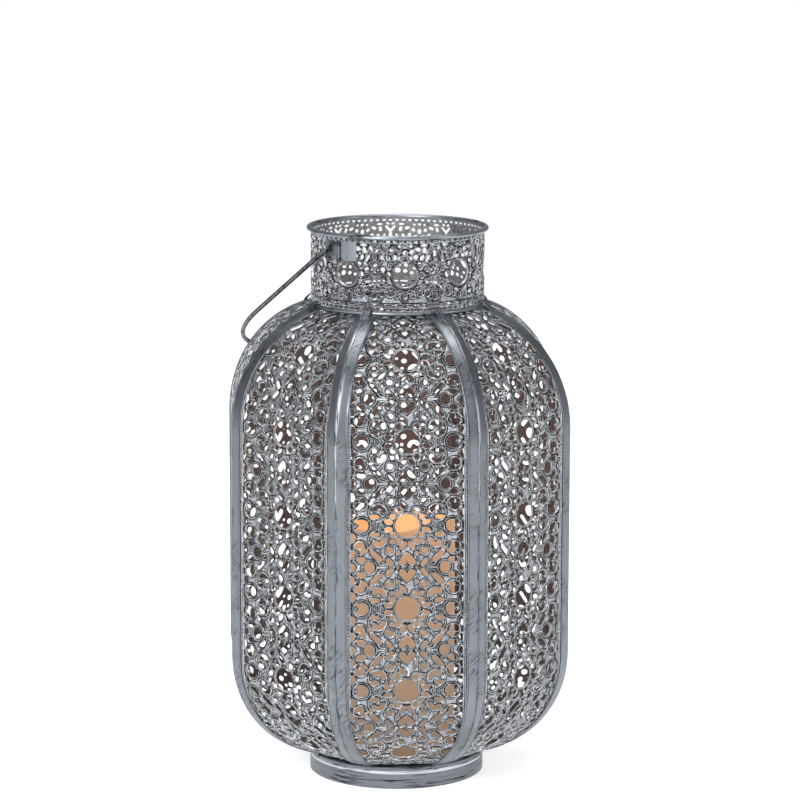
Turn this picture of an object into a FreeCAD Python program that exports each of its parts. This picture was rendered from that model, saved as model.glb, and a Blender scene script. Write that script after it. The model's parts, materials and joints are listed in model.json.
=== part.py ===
import FreeCAD, Part
import math
import os

# Moroccan metal lantern: eight pierced panels bent into a barrel, V-section ribs over their seams,
# a pierced neck with a rolled rim, a base ring, a swinging wire bail and a battery candle inside.
# Millimetres, +Z up. The origin is on the lantern's axis at the height of the table.
# The front panel faces -Y. Angles round the axis are counted from -Y towards +X.

V = FreeCAD.Vector
AXIS = V(0, 0, 1)

# ---- driving dimensions: shell ----
SIDES = 8                    # panels, and ribs, round the barrel
STEP_DEG = 360.0 / SIDES
SEAM_DEG = STEP_DEG / 2      # from a panel's centre to its seam
SHEET = 0.8                  # thickness of every sheet-metal piece
RIDGE_R = 131.4              # axis to a rib's ridge on the straight part
FOOT_BEND = 80.0             # ridge radius of the lower bend
FOOT_BEND_Z = 96.5
HEAD_BEND = 88.0             # ridge radius of the shoulder
HEAD_BEND_Z = 261.3
RIB_FLANGE = 8.2             # width of each half of a rib
SEAM_GAP = 0.1               # each panel stops this short of the seam
PITCH = 59.4                 # from one rosette window to the next, along the panel
ROSETTE_R = 8.4
ROSETTE_Z = 207.0            # height of a window on the straight part
SHELL_Z_MAX = 430.0          # taller than everything, for cutting tools

# ---- driving dimensions: base ----
BASE_R = 63.75
BASE_TOP_BEAD_Z = 15.4
BASE_TOP_BEAD = 1.5
BASE_LINE_BEAD_Z = 12.2
BASE_LINE_BEAD = 0.7
BASE_EDGE = 0.4              # rounding of the ring's lower edge
COLLAR_R = 60.2              # outside of the collar that the shell stands on
COLLAR_TOP = 20.0
TAB_HALF_WIDTH = 3.0
TAB_OUT_R = 65.2
TAB_Z = (13.0, 18.1)
HEAD_TAB_R = (62.5, 68.5)    # the tab at a rib's upper end, from the neck outwards
HEAD_TAB_TOP_Z = 350.0
HEAD_TAB_SINK = 0.5          # how far the tab sinks into the rib's ridge

# ---- driving dimensions: neck ----
NECK_R = 62.4
NECK_Z = (347.5, 400.9)
NECK_COLLAR_Z = (341.5, 348.6)
SHOULDER_BEAD = 1.5
SHOULDER_BEAD_R = 63.2
SHOULDER_BEAD_Z = 347.0
RIM_BEAD = 1.8
RIM_BEAD_R = 63.8
MEDALLIONS = 9
MEDALLION_R = 8.5
MEDALLION_Z = 374.5
MEDALLION_FIRST_DEG = 1.5

# ---- driving dimensions: bail ----
BAIL_DEG = -52.5             # direction of the near pivot
BAIL_Z = 390.0
BAIL_WIRE = 1.65             # wire radius
BAIL_HALF_SPAN = 68.0        # axis to a leg, and the radius of the bow
BAIL_REACH = 161.5           # pivot axis to the far side of the bow
BAIL_DROOP_DEG = 34.0        # below the horizontal at rest
BAIL_ELBOW = 3.0
BAIL_HEAD_R = 2.6
BAIL_HEAD = (60.0, 61.0)     # distance from the axis of the peened head's two faces
PIVOT_CLEARANCE = 0.05
BRACKET_THICK = 1.0
BRACKET_DEG = (-5.0, 9.0)    # either side of the pivot
BRACKET_Z = (383.5, 397.0)
FOLD_R = 0.6                 # the raised folds on the bracket and on the seam patch
PATCH_THICK = 0.5
PATCH_DEG = (-42.5, -31.0)
RIVET_R = 1.3
RIVET_HEAD = 0.7

# ---- driving dimensions: candle ----
CANDLE_AT = V(2.5, -0.2, 0)  # it stands slightly off the lantern's axis
CANDLE_R = 40.0
CANDLE_Z = (1.1, 188.5)
CANDLE_EDGE = 4.0
WELL_R = 33.0                # the burnt-down well in the top
WELL_FLOOR_Z = 168.0
WELL_SKIN = 3.0
CORE_BORE_R = 32.0           # bore for the battery core
CORE_R = 31.9
CORE_Z = (1.9, 63.5)
LIGHT_BORE_R = 28.0
CELL_R = 7.1
CELL_X = 8.2
CELL_Z = (5.2, 54.2)
CELL_CAP_R = 2.7
CELL_POCKET_R = 7.5
COVER_R = 20.0
COVER_Z = (2.0, 4.2)
COVER_GAP = 0.3
COVER_RECESS_TOP = 5.1
LUG_OUT = 2.2
LUG_HALF_DEG = 8.0
LUG_Z = 3.1
COVER_TURN_DEG = 25.0
SWITCH_AT = V(0, -26.0, 0)
SWITCH_HALF = (3.5, 2.0)
SWITCH_Z = (2.1, 4.5)
SWITCH_TRAVEL = 3.5
BOARD_R = 20.0
BOARD_THICK = 1.6
LED_R = 2.5
LED_HEIGHT = 8.0

COS_SEAM = math.cos(math.radians(SEAM_DEG))


def heading(degrees):
    """Unit vector at an angle round the axis, from -Y towards +X."""
    a = math.radians(degrees)
    return V(math.sin(a), -math.cos(a), 0)


def turned(shape, degrees):
    """A copy turned round the axis; 0 takes +X to the front, -Y."""
    out = shape.copy()
    out.rotate(V(0, 0, 0), AXIS, degrees - 90)
    return out


def tube(outer, inner, low, high):
    """Ring-shaped wall between two heights."""
    wall = Part.makeCylinder(outer, high - low, V(0, 0, low))
    return wall.cut(Part.makeCylinder(inner, high - low, V(0, 0, low)))


def ring_wire(major, minor, z):
    """A round bead, as a closed ring of wire."""
    return Part.makeTorus(major, minor, V(0, 0, z))


def sector(outer, inner, low, high, from_deg, to_deg):
    """Part of a ring-shaped wall, between two angles round the axis."""
    wedge = Part.makeCylinder(outer, high - low, V(0, 0, low), AXIS, to_deg - from_deg)
    wedge = wedge.cut(Part.makeCylinder(inner, high - low, V(0, 0, low)))
    wedge.rotate(V(0, 0, 0), AXIS, from_deg - 90)
    return wedge


def upright(radius, low, high, at=V(0, 0, 0)):
    """Vertical cylinder."""
    return Part.makeCylinder(radius, high - low, at + V(0, 0, low))


def slab(half_x, half_y, low, high, at=V(0, 0, 0)):
    """Upright box, centred on a point."""
    return Part.makeBox(2 * half_x, 2 * half_y, high - low, at + V(-half_x, -half_y, low))


# ---- shell ----

def meridian(depth, inner_r):
    """Edges of the panel's outline in the XZ plane, `depth` inside the ribs' outer face."""
    centre_foot = V((RIDGE_R - FOOT_BEND) * COS_SEAM, 0, FOOT_BEND_Z)
    centre_head = V((RIDGE_R - HEAD_BEND) * COS_SEAM, 0, HEAD_BEND_Z)
    wide_foot, tall_foot = FOOT_BEND * COS_SEAM - depth, FOOT_BEND - depth
    wide_head, tall_head = HEAD_BEND * COS_SEAM - depth, HEAD_BEND - depth
    foot = Part.Ellipse(centre_foot + V(0, 0, -tall_foot), centre_foot + V(wide_foot, 0, 0), centre_foot)
    head = Part.Ellipse(centre_head + V(0, 0, tall_head), centre_head + V(wide_head, 0, 0), centre_head)
    foot_start = math.asin((inner_r - centre_foot.x) / wide_foot)
    head_start = math.asin((inner_r - centre_head.x) / wide_head)
    straight_r = RIDGE_R * COS_SEAM - depth
    return [
        Part.ArcOfEllipse(foot, foot_start, math.pi / 2).toShape(),
        Part.LineSegment(V(straight_r, 0, FOOT_BEND_Z), V(straight_r, 0, HEAD_BEND_Z)).toShape(),
        Part.ArcOfEllipse(head, head_start, math.pi / 2).toShape(),
    ]


def end_points(edges):
    """The low and the high free end of an open outline."""
    points = [vertex.Point for edge in edges for vertex in edge.Vertexes]
    inner_r = min(point.x for point in points)
    ends = [point for point in points if abs(point.x - inner_r) < 1e-6]
    return min(ends, key=lambda point: point.z), max(ends, key=lambda point: point.z)


def bent_sheet(depth):
    """One sheet thickness of a side facing +X, wider than the panel and with untrimmed ends."""
    trim_r = 52.0            # well inside both collars
    half_width = 70.0
    outer = meridian(depth, trim_r)
    inner = meridian(depth + SHEET, trim_r)
    outer_low, outer_high = end_points(outer)
    inner_low, inner_high = end_points(inner)
    ends = [Part.makeLine(outer_low, inner_low), Part.makeLine(outer_high, inner_high)]
    wire = Part.Wire(Part.__sortEdges__(outer + inner + ends))
    face = Part.Face(wire)
    face.translate(V(0, -half_width, 0))
    return face.extrude(V(0, 2 * half_width, 0))


def trim_ends(shape):
    """Cut the open ends back to the foot collar and to the neck collar."""
    middle = (FOOT_BEND_Z + HEAD_BEND_Z) / 2
    shape = shape.cut(upright(COLLAR_R, 0, middle))
    return shape.cut(upright(NECK_R - SHEET, middle, SHELL_Z_MAX))


def panel_point(along):
    """Radius, height and tilt (degrees) of the panel, at a distance up it from the window at ROSETTE_Z."""
    steps = 400
    r, z = RIDGE_R * COS_SEAM - SHEET, ROSETTE_Z + along
    if FOOT_BEND_Z <= z <= HEAD_BEND_Z:
        return r, z, 0.0
    up = z > HEAD_BEND_Z
    bend, start = (HEAD_BEND, HEAD_BEND_Z) if up else (FOOT_BEND, FOOT_BEND_Z)
    wide = bend * COS_SEAM - SHEET
    tall = bend - SHEET
    centre_r = (RIDGE_R - bend) * COS_SEAM
    left = abs(z - start)
    angle = 0.0
    for _ in range(steps):
        speed = math.hypot(wide * math.sin(angle), tall * math.cos(angle))
        angle += left / steps / speed
    tilt = math.degrees(math.atan2(tall * wide * math.sin(angle), tall * tall * math.cos(angle)))
    sign = 1 if up else -1
    return centre_r + wide * math.cos(angle), start + sign * tall * math.sin(angle), sign * tilt


def filigree_panel():
    """A pierced panel facing +X. Its windows are one pitch apart along the bent sheet."""
    reach = 220.0
    tip = SEAM_GAP / math.sin(math.radians(SEAM_DEG))
    half = (reach - tip) * math.tan(math.radians(SEAM_DEG))
    corners = [V(tip, 0, 0), V(reach, -half, 0), V(reach, half, 0), V(tip, 0, 0)]
    wedge = Part.Face(Part.makePolygon(corners)).extrude(V(0, 0, SHELL_Z_MAX))
    panel = trim_ends(bent_sheet(SHEET).common(wedge))
    for number in range(-2, 3):
        r, z, tilt = panel_point(number * PITCH)
        punch = Part.makeCylinder(ROSETTE_R, 12, V(-6, 0, 0), V(1, 0, 0))
        punch.rotate(V(0, 0, 0), V(0, 1, 0), -tilt)
        punch.translate(V(r, 0, z))
        panel = panel.cut(punch)
    return panel


def rib(base_ring, shoulder_bead):
    """A V-section strip with its ridge on +X, and a tab over the bead at each of its ends."""
    span = RIB_FLANGE * COS_SEAM
    half = bent_sheet(0)
    half.rotate(V(0, 0, 0), AXIS, -SEAM_DEG)
    half = half.common(Part.makeBox(200, span, SHELL_Z_MAX, V(0, -span, 0)))
    other = half.mirror(V(0, 0, 0), V(0, 1, 0))
    strip = trim_ends(half.fuse(other))
    low, high = TAB_Z
    tab = Part.makeBox(TAB_OUT_R - BASE_R, 2 * TAB_HALF_WIDTH, high - low, V(BASE_R, -TAB_HALF_WIDTH, low))
    return strip.fuse([tab.cut(base_ring), head_tab().cut(shoulder_bead)]).removeSplitter()


def ridge_z(r):
    """Height of a rib's ridge on the shoulder."""
    return HEAD_BEND_Z + math.sqrt(HEAD_BEND ** 2 - (r - RIDGE_R + HEAD_BEND) ** 2)


def head_tab():
    """The rounded end of a rib, standing up over the shoulder bead against the neck."""
    inner_r, outer_r = HEAD_TAB_R
    outline = [
        V(inner_r, 0, ridge_z(inner_r) - HEAD_TAB_SINK),
        V(outer_r, 0, ridge_z(outer_r) - HEAD_TAB_SINK),
        V(outer_r, 0, ridge_z(outer_r) + 1.0),
        V(outer_r - 2, 0, HEAD_TAB_TOP_Z - 1.4),
        V(inner_r + 1, 0, HEAD_TAB_TOP_Z),
        V(inner_r, 0, HEAD_TAB_TOP_Z),
    ]
    face = Part.Face(Part.makePolygon(outline + outline[:1]))
    face.translate(V(0, -TAB_HALF_WIDTH, 0))
    return face.extrude(V(0, 2 * TAB_HALF_WIDTH, 0))


# ---- base ----

def make_base_ring():
    """Plain band with a raised line and a rolled bead at its upper edge."""
    wall = tube(BASE_R, BASE_R - SHEET, 0, BASE_TOP_BEAD_Z)
    lower_edges = [e for e in wall.Edges if abs(e.BoundBox.ZMax) < 1e-6 and e.BoundBox.XMax > BASE_R - 0.1]
    wall = wall.makeChamfer(BASE_EDGE, lower_edges)
    line = ring_wire(BASE_R - BASE_LINE_BEAD / 2, BASE_LINE_BEAD, BASE_LINE_BEAD_Z)
    bead = ring_wire(BASE_R - SHEET, BASE_TOP_BEAD, BASE_TOP_BEAD_Z)
    return wall.fuse([line, bead])


# ---- neck ----

def radial_hole(radius, degrees, z):
    """Tool for a hole through the neck wall."""
    return Part.makeCylinder(radius, NECK_R + 10, V(0, 0, z), heading(degrees))


def make_neck_band():
    """Pierced band with a ring of round medallion windows, and the two pivot holes."""
    band = tube(NECK_R, NECK_R - SHEET, *NECK_Z)
    for number in range(MEDALLIONS):
        angle = MEDALLION_FIRST_DEG + number * 360.0 / MEDALLIONS
        band = band.cut(radial_hole(MEDALLION_R, angle, MEDALLION_Z))
    return drill_pivots(band)


def drill_pivots(shape):
    """Both pivot holes, with running clearance round the bail's wire."""
    for angle in (BAIL_DEG, BAIL_DEG + 180):
        shape = shape.cut(radial_hole(BAIL_WIRE + PIVOT_CLEARANCE, angle, BAIL_Z))
    return shape


def fold(degrees, low, high, on_r):
    """A raised upright fold on a curved plate."""
    return upright(FOLD_R, low, high, heading(degrees) * on_r)


def make_bracket(pivot_deg):
    """Curved plate round a pivot hole, with a fold along one edge."""
    start, end = pivot_deg + BRACKET_DEG[0], pivot_deg + BRACKET_DEG[1]
    outer = NECK_R + BRACKET_THICK
    plate = sector(outer, NECK_R, *BRACKET_Z, start, end)
    plate = plate.fuse(fold(end - 1.0, *BRACKET_Z, outer).cut(upright(NECK_R, *BRACKET_Z)))
    return drill_pivots(plate).removeSplitter()


def make_seam_patch():
    """Plain end strip where the neck band closes, with two upright folds."""
    start, end = PATCH_DEG
    outer = NECK_R + PATCH_THICK
    patch = sector(outer, NECK_R, *BRACKET_Z, start, end)
    third = (end - start) / 3
    for angle in (start + third, start + 1.6 * third):
        patch = patch.fuse(fold(angle, *BRACKET_Z, outer).cut(upright(NECK_R, *BRACKET_Z)))
    return patch.removeSplitter()


def make_bracket_rivets():
    """Two small domed rivets on each bracket."""
    face_r = NECK_R + BRACKET_THICK
    rivets = []
    for pivot_deg in (BAIL_DEG, BAIL_DEG + 180):
        for z in (BRACKET_Z[0] + 2.5, BRACKET_Z[1] - 2.5):
            out = heading(pivot_deg + 5.2)
            dome = Part.makeCylinder(RIVET_R, RIVET_HEAD + 0.2, out * (face_r - 0.2) + V(0, 0, z), out)
            dome = dome.makeFillet(0.4, [max(dome.Edges, key=lambda e: e.CenterOfMass.dot(out))])
            rivets.append(dome.cut(upright(face_r, *BRACKET_Z)))
    return Part.makeCompound(rivets)


# ---- bail ----

def bail_frame():
    """Centre, direction to the near pivot, and direction in which the bail hangs at rest."""
    droop = math.radians(BAIL_DROOP_DEG)
    hang = heading(BAIL_DEG - 90) * math.cos(droop) - AXIS * math.sin(droop)
    return V(0, 0, BAIL_Z), heading(BAIL_DEG), hang


def make_bail():
    """Round wire: a half-circle bow, two straight legs, and two ends bent inwards through the neck."""
    centre, side, hang = bail_frame()
    leg = BAIL_REACH - BAIL_HALF_SPAN

    def at(across, down):
        return centre + side * across + hang * down

    corner = BAIL_ELBOW * (1 - math.sqrt(0.5))
    knee = BAIL_HALF_SPAN - BAIL_ELBOW
    pin_end = BAIL_HEAD[0]
    edges = []
    for sign in (1, -1):
        edges.append(Part.makeLine(at(sign * pin_end, 0), at(sign * knee, 0)))
        bend = Part.Arc(at(sign * knee, 0), at(sign * (BAIL_HALF_SPAN - corner), corner),
                        at(sign * BAIL_HALF_SPAN, BAIL_ELBOW))
        edges.append(bend.toShape())
        edges.append(Part.makeLine(at(sign * BAIL_HALF_SPAN, BAIL_ELBOW), at(sign * BAIL_HALF_SPAN, leg)))
    bow = Part.Arc(at(BAIL_HALF_SPAN, leg), at(0, BAIL_REACH), at(-BAIL_HALF_SPAN, leg))
    edges.append(bow.toShape())
    path = Part.Wire(Part.__sortEdges__(edges))
    section = Part.Wire([Part.makeCircle(BAIL_WIRE, at(pin_end, 0), side)])
    wire = path.makePipeShell([section], True, False)
    heads = []
    for sign in (1, -1):
        inner, outer = BAIL_HEAD
        heads.append(Part.makeCylinder(BAIL_HEAD_R, outer - inner, at(sign * inner, 0), side * sign))
    return wire.fuse(heads).removeSplitter()


# ---- candle ----

def make_candle_shell():
    """Wax pillar: a bore for the battery core, a light chamber above it, and a well in the top."""
    low, high = CANDLE_Z
    wax = upright(CANDLE_R, low, high)
    top_edge = [e for e in wax.Edges if abs(e.BoundBox.ZMin - high) < 1e-6]
    wax = wax.makeFillet(CANDLE_EDGE, top_edge)
    wax = wax.cut(upright(CORE_BORE_R, low, CORE_Z[1]))
    wax = wax.cut(upright(LIGHT_BORE_R, CORE_Z[1], WELL_FLOOR_Z - WELL_SKIN))
    return wax.cut(upright(WELL_R, WELL_FLOOR_Z, high))


def lugs(out_r, low, high, half_deg, turn_deg=0.0):
    """Two opposite bayonet lugs, or the pockets that take them."""
    found = []
    for start in (0, 180):
        found.append(sector(out_r, COVER_R - 1, low, high, start - half_deg, start + half_deg + turn_deg))
    return found


def make_battery_cover():
    """Round cover with two bayonet lugs and a coin slot."""
    low, high = COVER_Z
    cover = upright(COVER_R, low, high).fuse(lugs(COVER_R + LUG_OUT, LUG_Z, high, LUG_HALF_DEG))
    return cover.cut(slab(8, 0.8, low, low + 0.9)).removeSplitter()


def make_candle_core():
    """Plastic core: cell pockets, the cover's recess with its bayonet track, and the switch slot."""
    low, high = CORE_Z
    core = upright(CORE_R, low, high)
    core = core.cut(upright(COVER_R + COVER_GAP, low, COVER_RECESS_TOP))
    track_r = COVER_R + LUG_OUT + COVER_GAP
    wide = LUG_HALF_DEG + 1.5
    for pocket in lugs(track_r, LUG_Z - 0.2, COVER_RECESS_TOP, wide, COVER_TURN_DEG):
        core = core.cut(pocket)
    for entry in lugs(track_r, low, LUG_Z, wide):
        entry.rotate(V(0, 0, 0), AXIS, COVER_TURN_DEG)
        core = core.cut(entry)
    for side in (-1, 1):
        core = core.cut(upright(CELL_POCKET_R, low, high - 4, V(side * CELL_X, 0, 0)))
    slot_half_x = SWITCH_HALF[0] + SWITCH_TRAVEL / 2 + COVER_GAP
    slot_at = SWITCH_AT + V(SWITCH_TRAVEL / 2, 0, 0)
    core = core.cut(slab(slot_half_x, SWITCH_HALF[1] + COVER_GAP, low, SWITCH_Z[1] + COVER_GAP, slot_at))
    return core.removeSplitter()


def make_switch():
    """Sliding switch knob with a raised grip line, flush inside its slot."""
    low, high = SWITCH_Z
    knob = slab(*SWITCH_HALF, low + 0.6, high, SWITCH_AT)
    return knob.fuse(slab(0.8, SWITCH_HALF[1] - 0.3, low, low + 0.6, SWITCH_AT)).removeSplitter()


def make_battery_cells():
    """Two upright AA cells, each with its positive cap."""
    low, high = CELL_Z
    cells = []
    for side in (-1, 1):
        at = V(side * CELL_X, 0, 0)
        cells.append(upright(CELL_R, low, high, at).fuse(upright(CELL_CAP_R, high, high + 1, at)))
    return Part.makeCompound(cells)


def make_cell_contacts():
    """A small metal plate at the closed end of each pocket."""
    top = CORE_Z[1] - 4
    return Part.makeCompound([slab(3, 3, top - 0.5, top, V(side * CELL_X, 0, 0)) for side in (-1, 1)])


def make_cover_contact():
    """The strip on the cover that joins the two cells, turning with it."""
    return slab(CELL_X + 4, 3, COVER_Z[1], COVER_Z[1] + 0.5)


def make_led():
    """Round-topped lamp on the board."""
    low = CORE_Z[1] + BOARD_THICK
    lamp = upright(LED_R, low, low + LED_HEIGHT - LED_R)
    return lamp.fuse(Part.makeSphere(LED_R, V(0, 0, low + LED_HEIGHT - LED_R))).removeSplitter()


def candle_pieces():
    """Every piece of the candle, moved to where it stands."""
    board = upright(BOARD_R, CORE_Z[1], CORE_Z[1] + BOARD_THICK)
    pieces = {
        "candle_shell": make_candle_shell(),
        "candle_core": make_candle_core(),
        "candle_switch": make_switch(),
        "battery_cover": make_battery_cover(),
        "cover_contact": make_cover_contact(),
        "battery_cells": make_battery_cells(),
        "cell_contacts": make_cell_contacts(),
        "led_board": board,
        "led_lamp": make_led(),
    }
    for shape in pieces.values():
        shape.translate(CANDLE_AT)
    return pieces


def lantern_pieces():
    """Every piece of the lantern, by node name."""
    base_ring = make_base_ring()
    pieces = {
        "base_ring": base_ring,
        "base_plate": upright(BASE_R - SHEET, 0, SHEET),
        "foot_collar": tube(COLLAR_R, COLLAR_R - SHEET, SHEET, COLLAR_TOP),
    }
    panel = filigree_panel()
    shoulder_bead = ring_wire(SHOULDER_BEAD_R, SHOULDER_BEAD, SHOULDER_BEAD_Z)
    one_rib = rib(base_ring, shoulder_bead)
    shell = []
    for number in range(SIDES):
        shell.append(turned(panel, number * STEP_DEG))
        pieces[f"filigree_panel_{number + 1}"] = shell[-1]
        shell.append(turned(one_rib, (number + 0.5) * STEP_DEG))
        pieces[f"rib_{number + 1}"] = shell[-1]
    neck_band = make_neck_band()
    pieces["neck_collar"] = tube(NECK_R - SHEET, NECK_R - 2 * SHEET, *NECK_COLLAR_Z)
    shoulder = shoulder_bead.cut([upright(NECK_R, NECK_COLLAR_Z[0], NECK_Z[1])] + shell)
    pieces["shoulder_ring"] = max(shoulder.Solids, key=lambda solid: solid.Volume)
    pieces["neck_band"] = neck_band
    rim = ring_wire(RIM_BEAD_R, RIM_BEAD, NECK_Z[1])
    pieces["rim_bead"] = rim.cut(upright(NECK_R, NECK_Z[0], NECK_Z[1]))
    pieces["neck_seam_patch"] = make_seam_patch()
    pieces["bail_bracket_near"] = make_bracket(BAIL_DEG)
    pieces["bail_bracket_far"] = make_bracket(BAIL_DEG + 180)
    pieces["bracket_rivets"] = make_bracket_rivets()
    pieces["bail"] = make_bail()
    return pieces


def main():
    os.makedirs("parts", exist_ok=True)
    pieces = lantern_pieces()
    pieces.update(candle_pieces())
    for name, shape in pieces.items():
        shape.exportStep(f"parts/{name}.step")
        print(name, "valid" if shape.isValid() else "NOT VALID", len(shape.Solids), round(shape.Volume, 1))


main()
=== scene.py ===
import json
import math

import bpy
import numpy as np
from mathutils import Matrix, Vector

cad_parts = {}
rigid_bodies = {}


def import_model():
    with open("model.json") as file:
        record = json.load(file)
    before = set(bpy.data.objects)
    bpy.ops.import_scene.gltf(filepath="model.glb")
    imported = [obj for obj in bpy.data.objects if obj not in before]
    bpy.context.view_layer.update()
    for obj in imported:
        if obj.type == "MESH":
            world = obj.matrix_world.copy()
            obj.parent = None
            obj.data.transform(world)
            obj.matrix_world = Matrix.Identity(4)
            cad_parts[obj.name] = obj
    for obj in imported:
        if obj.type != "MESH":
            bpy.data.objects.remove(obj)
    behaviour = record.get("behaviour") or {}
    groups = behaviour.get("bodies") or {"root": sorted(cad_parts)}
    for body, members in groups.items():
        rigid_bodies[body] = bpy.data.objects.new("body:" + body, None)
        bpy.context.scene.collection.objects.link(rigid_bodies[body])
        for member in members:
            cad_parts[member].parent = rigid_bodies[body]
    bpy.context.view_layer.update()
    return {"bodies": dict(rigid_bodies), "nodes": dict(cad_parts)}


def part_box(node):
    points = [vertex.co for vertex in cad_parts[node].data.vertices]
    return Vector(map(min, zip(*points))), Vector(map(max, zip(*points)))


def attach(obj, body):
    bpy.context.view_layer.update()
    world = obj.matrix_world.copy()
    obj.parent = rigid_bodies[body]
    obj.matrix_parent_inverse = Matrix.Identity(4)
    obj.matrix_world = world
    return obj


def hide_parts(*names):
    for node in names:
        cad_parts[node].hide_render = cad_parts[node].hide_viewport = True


# Looks of the pierced metal lantern. Shapes are worked out in millimetres and written in metres.
# A panel is drawn flat first: u runs across it and s up it, with s = 0 at the height of its middle window.

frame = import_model()
nodes = frame["nodes"]

MM = 0.001
SIDES = 8
SEAM = math.pi / SIDES
COS_SEAM = math.cos(SEAM)
RIDGE_R = 131.4              # shell, as the CAD panels and ribs have it
FOOT_BEND, FOOT_Z = 80.0, 96.5      # radius of the lower bend and the height where it starts
HEAD_BEND, HEAD_Z = 88.0, 261.3     # and of the shoulder's bend
SHEET = 0.8
BACK_INSET = 0.05            # the pierced sheets are this much thinner than the CAD ones
WINDOW_Z = 207.0             # height of a window in the straight part of a panel
PITCH = 59.4                 # from one window to the next
HALF_PITCH = PITCH / 2
FOOT_END_R, HEAD_END_R = 60.2, 61.6
FLANGE = 8.2                 # width of a rib's face on the panel
NECK_R, NECK_LOW, NECK_HIGH = 62.4, 347.5, 400.9
MEDALLION_Z = 374.5
MEDALLION_FIRST = 1.5        # heading of the first medallion, degrees
NECK_PERIODS = 9
BAIL_DEG, BAIL_Z = -52.5, 390.0
BAIL_HOLE_R, BAIL_HOLE_MARGIN = 1.75, 4.2

RIM_WIDTH = 0.45             # the raised lip round every pierced hole
FAR = 1e9                    # stands for "no hole anywhere near"
BEND_STEPS = 500             # points along each bend of a panel's profile
FRAME_MARGIN = 1.3           # plain sheet left at a panel's ends
NECK_MARGIN = 1.2            # and at the neck band's edges
SEAM_GAP = 0.15              # between a panel's edge and the seam's own plane


# ---------------------------------------------------------------- flat outlines

def ellipse(x, y, cx, cy, rx, ry, turn=0.0):
    """Signed distance to an ellipse, negative inside."""
    c, s = math.cos(math.radians(turn)), math.sin(math.radians(turn))
    px, py = (x - cx) * c + (y - cy) * s, (y - cy) * c - (x - cx) * s
    near = np.hypot(px / rx, py / ry)
    return near * (near - 1) / (np.hypot(px / rx ** 2, py / ry ** 2) + 1e-9)


def capsule(x, y, x1, y1, x2, y2, r1, r2):
    """Signed distance to a rounded bar whose half-thickness goes from r1 to r2."""
    dx, dy = x2 - x1, y2 - y1
    t = np.clip(((x - x1) * dx + (y - y1) * dy) / (dx * dx + dy * dy), 0, 1)
    return np.hypot(x - x1 - t * dx, y - y1 - t * dy) - (r1 + t * (r2 - r1))


def arc(x, y, cx, cy, radius, middle, spread, half):
    """Signed distance to a rounded arc, `spread` degrees either side of `middle`."""
    a = np.arctan2(y - cy, x - cx) - math.radians(middle)
    a = np.clip((a + math.pi) % (2 * math.pi) - math.pi, -math.radians(spread), math.radians(spread))
    a += math.radians(middle)
    return np.hypot(x - cx - radius * np.cos(a), y - cy - radius * np.sin(a)) - half


def outline(x, y, corners):
    """Signed distance to a polygon."""
    far = np.full(x.shape, FAR)
    inside = np.zeros(x.shape, bool)
    for (x1, y1), (x2, y2) in zip(corners, corners[1:] + corners[:1]):
        far = np.minimum(far, capsule(x, y, x1, y1, x2, y2, 0, 0))
        if y1 != y2:
            crosses = (y1 > y) != (y2 > y)
            inside ^= crosses & (x < (x2 - x1) * (y - y1) / (y2 - y1) + x1)
    return np.where(inside, -far, far)


# One quarter of the panel's repeat: x from its middle line outwards, y from a window's row towards
# the hearts' row. Everything else is mirrored.
PANEL_ELLIPSES = [
    (0, 0, 8.4, 8.4), (13.2, 2.75, 2.9, 1.7, 15), (10.2, 6.5, 1.9, 1.9), (6.3, 10.65, 2.0, 2.0),
    (10.75, 11.3, 1.4, 1.4), (22.8, 6.3, 3.3, 1.55), (25.5, 15.6, 1.4, 1.2), (33.5, 14.4, 3.2, 3.2),
    (31.0, 17.8, 2.2, 2.2), (32.2, 24.2, 3.0, 2.1), (26.5, 29.6, 3.5, 4.0), (12.1, 17.5, 2.2, 2.1),
    (6.4, 19.5, 1.4, 1.2), (6.6, 29.6, 0.7, 0.7),
]
PANEL_CAPSULES = [
    (24.3, 18.9, 19.6, 23.9, 1.5, 1.7), (13.4, 24.6, 10.9, 27.6, 1.4, 1.4),
]
HEART = [(-2, 19.0), (0, 19.0), (1.6, 20.4), (3.6, 22.3), (5.2, 24.4), (5.6, 26.2), (5.0, 27.6), (3.8, 28.3),
         (2.5, 28.2), (1.3, 27.2), (0.5, 25.6), (0, 24.6), (-2, 24.6)]
TULIP = [(27.2, -2), (27.2, 0), (27.7, 2.2), (29.0, 3.7), (31.0, 4.4), (33.6, 4.3), (36.2, 3.7), (36.5, 3.0),
         (35.2, 1.9), (33.9, 0.9), (33.2, 0), (33.2, -2)]
# corners of the three-sided holes along the beaded border
BORDER_HOLES = [
    [(39.0, 5.4), (39.0, 11.8), (37.6, 11.4), (35.9, 8.6), (37.4, 5.8)],
    [(39.0, 17.2), (39.0, 23.4), (37.8, 23.0), (36.6, 20.2), (37.8, 17.6)],
    [(39.0, 26.6), (39.0, 32.6), (37.6, 32.0), (36.2, 29.6), (37.6, 27.2)],
]

BORDER_ROUNDING = 0.15
KIDNEY = (20.0, 10.0, 3.4, 105, 70, 1.6)
KIDNEY_NICK = (20.2, 9.2, 1.5, 1.2)
PETAL = (2.9, 14.1, 3.1, 1.7, 53)
UNPUNCHED = 1.4              # distance from a hole that the missing petal's outline is given
HOOK = (35.6, 17.6, 32.9, 16.6, 0.9, 0.5)       # metal left standing in the C-shaped scroll


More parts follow.
